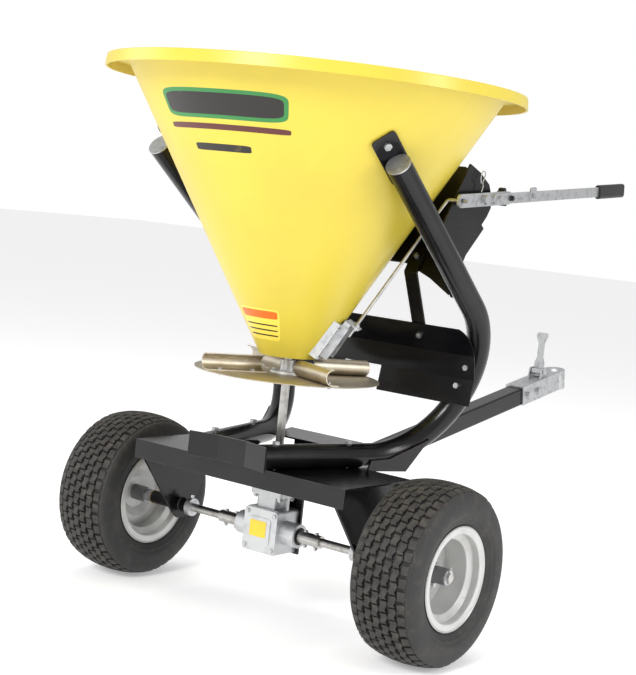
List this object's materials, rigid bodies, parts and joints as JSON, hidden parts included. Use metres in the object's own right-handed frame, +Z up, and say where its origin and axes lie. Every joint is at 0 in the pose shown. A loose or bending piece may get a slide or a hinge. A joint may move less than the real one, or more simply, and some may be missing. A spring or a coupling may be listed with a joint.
{
  "type": "tow-behind broadcast spreader",
  "caption": "Tow-behind cone spreader: yellow conical hopper over a wheel-driven spinning disc, black tube frame, two turf tyres, gate lever and ball-hitch tongue.",
  "frame": {"origin": "on the ground, under the middle of the outline seen from above", "axes": "+Z up, +Y forward along the tongue to the hitch, +X to the right-hand wheel; the axle lies along X at 0.203 m height"},
  "size_m": [1.061, 1.8292, 1.2589],
  "materials": {
    "frame_paint": "gloss black paint over a reddish primer",
    "hopper_plastic": "satin yellow moulded plastic",
    "zinc_sheet": "dull zinc plate",
    "shaft_steel": "bare turned steel",
    "stainless": "brushed stainless sheet",
    "gear_iron": "machined iron",
    "cast_alloy": "as-cast alloy",
    "bronze": "sintered bronze",
    "seal_rubber": "matt rubber",
    "tyre_rubber": "matt black rubber, dusty tread",
    "rim_paint": "light grey paint",
    "black_plastic": "matt black moulding"
  },
  "bodies": {
    "chassis": {"deck_plate": "frame_paint", "hanger_plates": "frame_paint", "right_frame_tube": "frame_paint", "left_frame_tube": "frame_paint", "tube_plugs": "zinc_sheet", "rear_tie_strap": "frame_paint", "bridge_bracket": "frame_paint", "frame_gussets": "frame_paint", "tongue": "frame_paint", "hopper_tabs": "frame_paint", "front_saddle": "frame_paint", "saddle_cheeks": "frame_paint", "saddle_struts": "frame_paint", "spinner_shield": "frame_paint", "hopper": "hopper_plastic", "gate_guide": "zinc_sheet", "bearing_tubes": "frame_paint", "shaft_bushes": "bronze", "gearbox_case": "cast_alloy", "gearbox_cover": "cast_alloy", "gearbox_bracket": "frame_paint", "gearbox_bearings": "shaft_steel", "gearbox_seals": "seal_rubber", "frame_bolts": "zinc_sheet", "hopper_bolts": "zinc_sheet", "lever_pivot_bolt": "zinc_sheet", "coupler_body": "zinc_sheet", "coupler_bolts": "zinc_sheet"},
    "drive_axle": {"half_axles": "shaft_steel", "gearbox_shaft": "shaft_steel", "crown_gear": "gear_iron", "shaft_couplings": "shaft_steel", "set_collars": "zinc_sheet", "axle_pins_and_bolts": "zinc_sheet", "axle_spacers": "zinc_sheet", "right_tyre": "tyre_rubber", "right_rim": "rim_paint", "right_hub": "gear_iron"},
    "left_wheel": {"left_tyre": "tyre_rubber", "left_rim": "rim_paint", "left_hub": "gear_iron", "left_hub_bushes": "bronze"},
    "spinner": {"spinner_shaft": "shaft_steel", "bevel_pinion": "gear_iron", "spinner_disc": "stainless", "spinner_hub": "cast_alloy", "spinner_fins": "stainless", "spinner_bolts": "zinc_sheet", "agitator_pin": "shaft_steel"},
    "lever": {"lever_yoke": "zinc_sheet", "lever_bar": "zinc_sheet", "lever_bolts": "zinc_sheet", "lever_grip": "black_plastic"},
    "knob": {"clamp_knob": "black_plastic"},
    "gate": {"gate_plate": "zinc_sheet", "control_rod": "shaft_steel", "rod_nuts": "zinc_sheet"},
    "latch": {"latch_handle": "zinc_sheet"},
    "jaw": {"coupler_jaw": "zinc_sheet"}
  },
  "joints": [
    {"name": "axle_spin", "type": "hinge", "parent": "chassis", "child": "drive_axle", "pos_m": [0, -0.42966, 0.203], "axis": [1, 0, 0], "continuous": true},
    {"name": "left_wheel_spin", "type": "hinge", "parent": "chassis", "child": "left_wheel", "pos_m": [0, -0.42966, 0.203], "axis": [1, 0, 0], "continuous": true},
    {"name": "spinner_spin", "type": "hinge", "parent": "chassis", "child": "spinner", "pos_m": [0, -0.42966, 0.572], "axis": [0, 0, 1], "continuous": true},
    {"name": "lever_pivot", "type": "hinge", "parent": "chassis", "child": "lever", "pos_m": [0.333, -0.1957, 1.02368], "axis": [1, 0, 0], "range_deg": [-29.4, 0]},
    {"name": "gate_slide", "type": "slide", "parent": "chassis", "child": "gate", "axis": [0.4474, 0.2182, 0.8673], "range_m": [0, 0.05]},
    {"name": "knob_turn", "type": "hinge", "parent": "lever", "child": "knob", "pos_m": [0.316, -0.08471, 1.03534], "axis": [1, 0, 0], "continuous": true},
    {"name": "latch_hinge", "type": "hinge", "parent": "chassis", "child": "latch", "pos_m": [0, 0.77184, 0.5519], "axis": [1, 0, 0], "range_deg": [0, 75]},
    {"name": "jaw_slide", "type": "slide", "parent": "chassis", "child": "jaw", "axis": [0, 0.9821, 0.1882], "range_m": [0, 0.0051]}
  ],
  "couplings": [
    {"joint": "spinner_spin", "follows": "axle_spin", "ratio": 3},
    {"joint": "gate_slide", "follows": "lever_pivot", "m_per_rad": -0.0974},
    {"joint": "jaw_slide", "follows": "latch_hinge", "m_per_rad": 0.00382}
  ]
}
